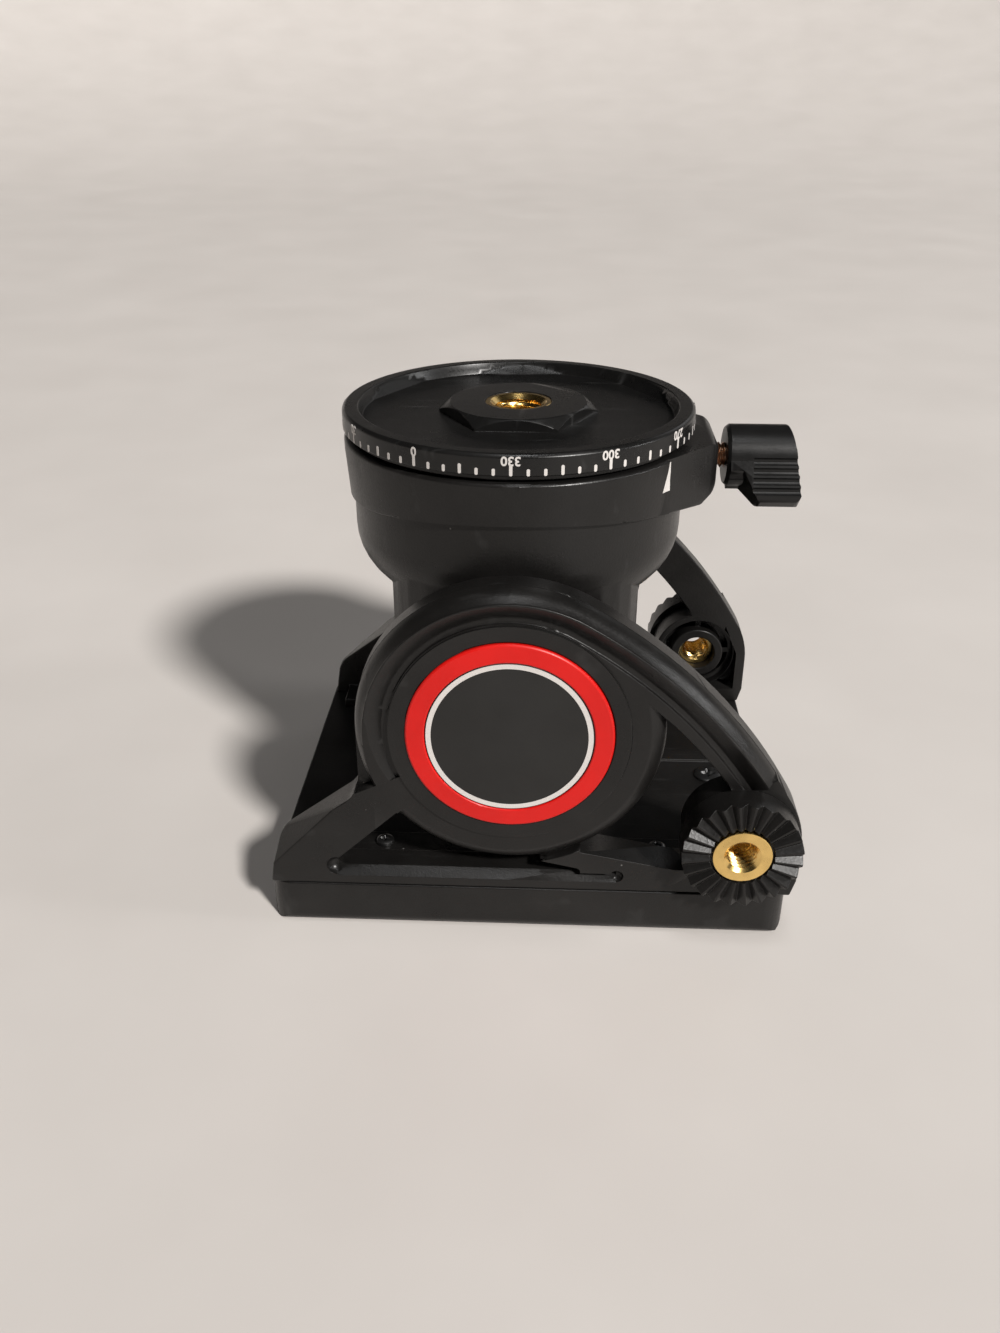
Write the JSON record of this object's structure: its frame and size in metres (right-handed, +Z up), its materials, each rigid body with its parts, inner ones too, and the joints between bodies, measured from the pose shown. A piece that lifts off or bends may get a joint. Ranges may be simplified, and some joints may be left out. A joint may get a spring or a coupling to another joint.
{
  "type": "fluid video head",
  "caption": "Compact fluid video head with a round pan base and degree scale, a tilt cradle with two toothed handle rosettes, winged lock knobs and a plate channel.",
  "frame": {"origin": "on the centre line of the plate channel under the tilt axis, in the plane of the camera face, which rests on the table", "axes": "+X towards the handle rosettes and the pan lock, +Y towards the tilt lock, +Z up from the camera face to the tripod base (the head stands upside down, as pictured)"},
  "size_m": [0.091, 0.0935, 0.0841],
  "materials": {
    "black_plastic": "fine-grained satin moulded plastic",
    "base_plastic": "satin moulded plastic with a white degree scale",
    "knob_plastic": "semi-gloss moulded plastic",
    "cap_face": "smooth satin disc with a white printed edge ring",
    "red_trim": "smooth red satin-gloss ring",
    "brass": "machined brass",
    "bronze": "sintered bronze",
    "copper_screw": "coppery plated screw thread",
    "steel": "bright turned steel",
    "black_screw": "black oxide steel",
    "nylon": "natural nylon"
  },
  "bodies": {
    "cradle": {"near_cheek": "black_plastic", "far_cheek": "black_plastic", "platform": "black_plastic", "cheek_screws": "black_screw", "stop_screw": "black_screw", "near_rosette": "black_plastic", "far_rosette": "black_plastic", "near_handle_insert": "brass", "far_handle_insert": "brass", "tilt_axle": "steel", "side_cap": "cap_face", "red_trim_ring": "red_trim", "near_drag_disc": "nylon", "far_drag_disc": "nylon"},
    "tilt_block": {"pan_housing": "black_plastic", "near_tilt_bush": "bronze", "far_tilt_bush": "bronze", "pan_thrust_washer": "nylon", "pan_retaining_ring": "brass"},
    "pan_base": {"base_disc": "base_plastic", "tripod_insert": "brass", "pan_spindle": "steel", "drive_pins": "steel"},
    "pan_brake": {"pan_brake_shoe": "bronze"},
    "pan_knob": {"pan_lock_screw": "copper_screw", "pan_lock_knob": "knob_plastic"},
    "tilt_clamp": {"tilt_lock_washer": "steel"},
    "tilt_knob": {"tilt_lock_knob": "knob_plastic", "tilt_knob_nut": "brass"},
    "plate_clamp": {"plate_clamp_jaw": "black_plastic"},
    "plate_knob": {"plate_clamp_screw": "steel", "plate_clamp_knob": "knob_plastic"}
  },
  "joints": [
    {"name": "tilt", "type": "hinge", "parent": "cradle", "child": "tilt_block", "pos_m": [0, 0, 0.0396], "axis": [0, 1, 0], "range_deg": [-90, 60]},
    {"name": "pan", "type": "hinge", "parent": "tilt_block", "child": "pan_base", "pos_m": [0, 0, 0.08], "axis": [0, 0, 1], "continuous": true},
    {"name": "pan_lock_travel", "type": "slide", "parent": "tilt_block", "child": "pan_brake", "axis": [-1, 0, 0], "range_m": [-0.0008, 0.0002]},
    {"name": "pan_lock_turn", "type": "hinge", "parent": "pan_brake", "child": "pan_knob", "pos_m": [0.036, 0, 0.075], "axis": [1, 0, 0], "range_deg": [-90.05, 360.05]},
    {"name": "tilt_lock_travel", "type": "slide", "parent": "cradle", "child": "tilt_clamp", "axis": [0, -1, 0], "range_m": [-0.001, 0.00025]},
    {"name": "tilt_lock_turn", "type": "hinge", "parent": "tilt_clamp", "child": "tilt_knob", "pos_m": [0, 0.04, 0.0396], "axis": [0, 1, 0], "range_deg": [-90.05, 360.05]},
    {"name": "plate_clamp_travel", "type": "slide", "parent": "cradle", "child": "plate_clamp", "axis": [0, -1, 0], "range_m": [-0.0007, 0.000175]},
    {"name": "plate_clamp_turn", "type": "hinge", "parent": "plate_clamp", "child": "plate_knob", "pos_m": [0, 0.04, 0.005], "axis": [0, 1, 0], "range_deg": [-90.05, 360.05]}
  ],
  "couplings": [
    {"joint": "pan_lock_turn", "follows": "pan_lock_travel", "rad_per_m": -7854},
    {"joint": "tilt_lock_turn", "follows": "tilt_lock_travel", "rad_per_m": -6283.2},
    {"joint": "plate_clamp_turn", "follows": "plate_clamp_travel", "rad_per_m": -8976}
  ]
}
